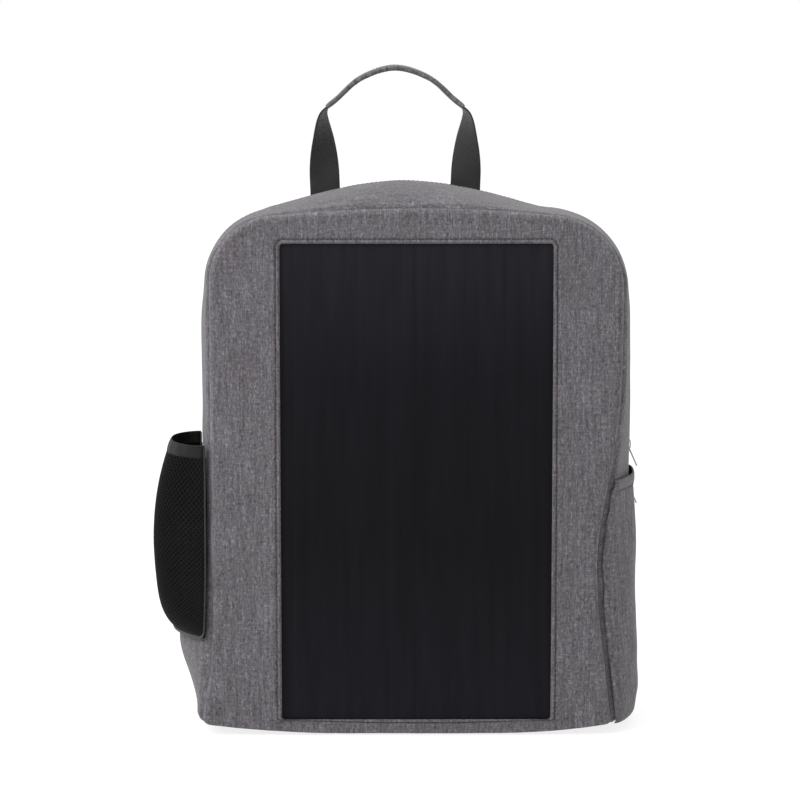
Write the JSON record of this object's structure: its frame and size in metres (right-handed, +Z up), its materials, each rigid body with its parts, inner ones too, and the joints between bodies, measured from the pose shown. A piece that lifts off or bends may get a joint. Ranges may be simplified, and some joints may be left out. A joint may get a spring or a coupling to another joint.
{
  "type": "solar backpack",
  "caption": "Soft-sided backpack with a large solar laminate sewn into its front, a mesh bottle pocket, a slip pocket, a two-way zip, shoulder straps and a folding carry handle.",
  "frame": {"origin": "on the floor under the middle of the flat of the base, half-way between the front and back seams", "axes": "+Z up; -Y the way the solar face looks; +X to the right of someone who faces the solar face"},
  "size_m": [0.4013, 0.1848, 0.5372],
  "materials": {
    "melange_cloth": "woven grey melange",
    "black_mesh": "black diamond and spacer mesh",
    "black_webbing": "black woven webbing and tape",
    "solar_film": "satin clear film over black cells",
    "solar_cell": "black thin-film cells",
    "laminate_back": "white backsheet",
    "black_plastic": "fine-textured black",
    "lining_cloth": "plain black lining",
    "foam": "closed-cell foam in lining",
    "nickel": "satin nickel plate",
    "lead_jacket": "smooth black jacket"
  },
  "bodies": {
    "shell": {"front_panel": "melange_cloth", "window_facing": "melange_cloth", "solar_cover_film": "solar_film", "solar_cell_string_left": "solar_cell", "solar_cell_string_right": "solar_cell", "solar_backsheet": "laminate_back", "front_lining": "lining_cloth", "gusset": "melange_cloth", "bottom_panel": "melange_cloth", "bottom_board": "black_plastic", "zip_tape_front": "black_webbing", "zip_teeth_front": "black_plastic", "mesh_pocket": "black_mesh", "mesh_pocket_band": "black_webbing", "side_pocket": "melange_cloth", "side_pocket_hem": "melange_cloth", "junction_box": "black_plastic", "junction_box_lid": "black_plastic", "lead_gland": "black_plastic", "panel_lead": "lead_jacket", "usb_box_base": "black_plastic", "usb_box_lid": "black_plastic", "usb_socket_shell": "nickel", "usb_socket_tongue": "black_plastic", "usb_pocket": "lining_cloth"},
    "upper_slider": {"upper_slider": "nickel"},
    "upper_pull": {"upper_pull": "nickel"},
    "lower_slider": {"lower_slider": "nickel"},
    "lower_pull": {"lower_pull": "nickel"},
    "back": {"back_panel": "melange_cloth", "back_foam": "foam", "rear_gusset": "melange_cloth", "zip_tape_rear": "black_webbing", "zip_teeth_rear": "black_plastic", "laptop_sleeve": "lining_cloth", "laptop_strap": "black_webbing", "back_pad_left": "black_mesh", "back_pad_right": "black_mesh", "lumbar_pad": "black_mesh", "strap_yoke": "black_webbing", "handle_end_left": "black_webbing", "handle_end_right": "black_webbing", "strap_anchor_left": "melange_cloth", "strap_anchor_right": "melange_cloth", "lower_webbing_left": "black_webbing", "lower_webbing_right": "black_webbing"},
    "strap_left": {"strap_pad_left": "melange_cloth", "strap_liner_left": "black_mesh", "ladder_lock_left": "black_plastic", "strap_loop_left": "black_webbing", "strap_tail_left": "black_webbing"},
    "strap_right": {"strap_pad_right": "melange_cloth", "strap_liner_right": "black_mesh", "ladder_lock_right": "black_plastic", "strap_loop_right": "black_webbing", "strap_tail_right": "black_webbing"},
    "handle": {"handle_webbing": "black_webbing", "handle_grip": "melange_cloth"}
  },
  "joints": [
    {"name": "back_opening", "type": "hinge", "parent": "shell", "child": "back", "pos_m": [0, 0.0765, 0.004], "axis": [-1, 0, 0], "range_deg": [0, 75]},
    {"name": "upper_slider_travel", "type": "slide", "parent": "shell", "child": "upper_slider", "axis": [0, 0, 1], "range_m": [0, 0.095]},
    {"name": "lower_slider_travel", "type": "slide", "parent": "shell", "child": "lower_slider", "axis": [0, 0, 1], "range_m": [-0.16, 0]},
    {"name": "upper_pull_swing", "type": "hinge", "parent": "upper_slider", "child": "upper_pull", "pos_m": [0.17744, 0.024, 0.2221], "axis": [0, -1, 0], "range_deg": [-14, 120]},
    {"name": "lower_pull_swing", "type": "hinge", "parent": "lower_slider", "child": "lower_pull", "pos_m": [0.17744, 0.024, 0.1906], "axis": [0, -1, 0], "range_deg": [-14, 90]},
    {"name": "strap_left_swing", "type": "hinge", "parent": "back", "child": "strap_left", "pos_m": [-0.048, 0.0722, 0.409], "axis": [1, 0, 0], "range_deg": [0, 8]},
    {"name": "strap_right_swing", "type": "hinge", "parent": "back", "child": "strap_right", "pos_m": [0.048, 0.0722, 0.409], "axis": [1, 0, 0], "range_deg": [0, 8]},
    {"name": "handle_fold", "type": "hinge", "parent": "back", "child": "handle", "pos_m": [-0.0165, 0.069, 0.4303], "axis": [1, 0, 0], "range_deg": [-90, 60]}
  ]
}
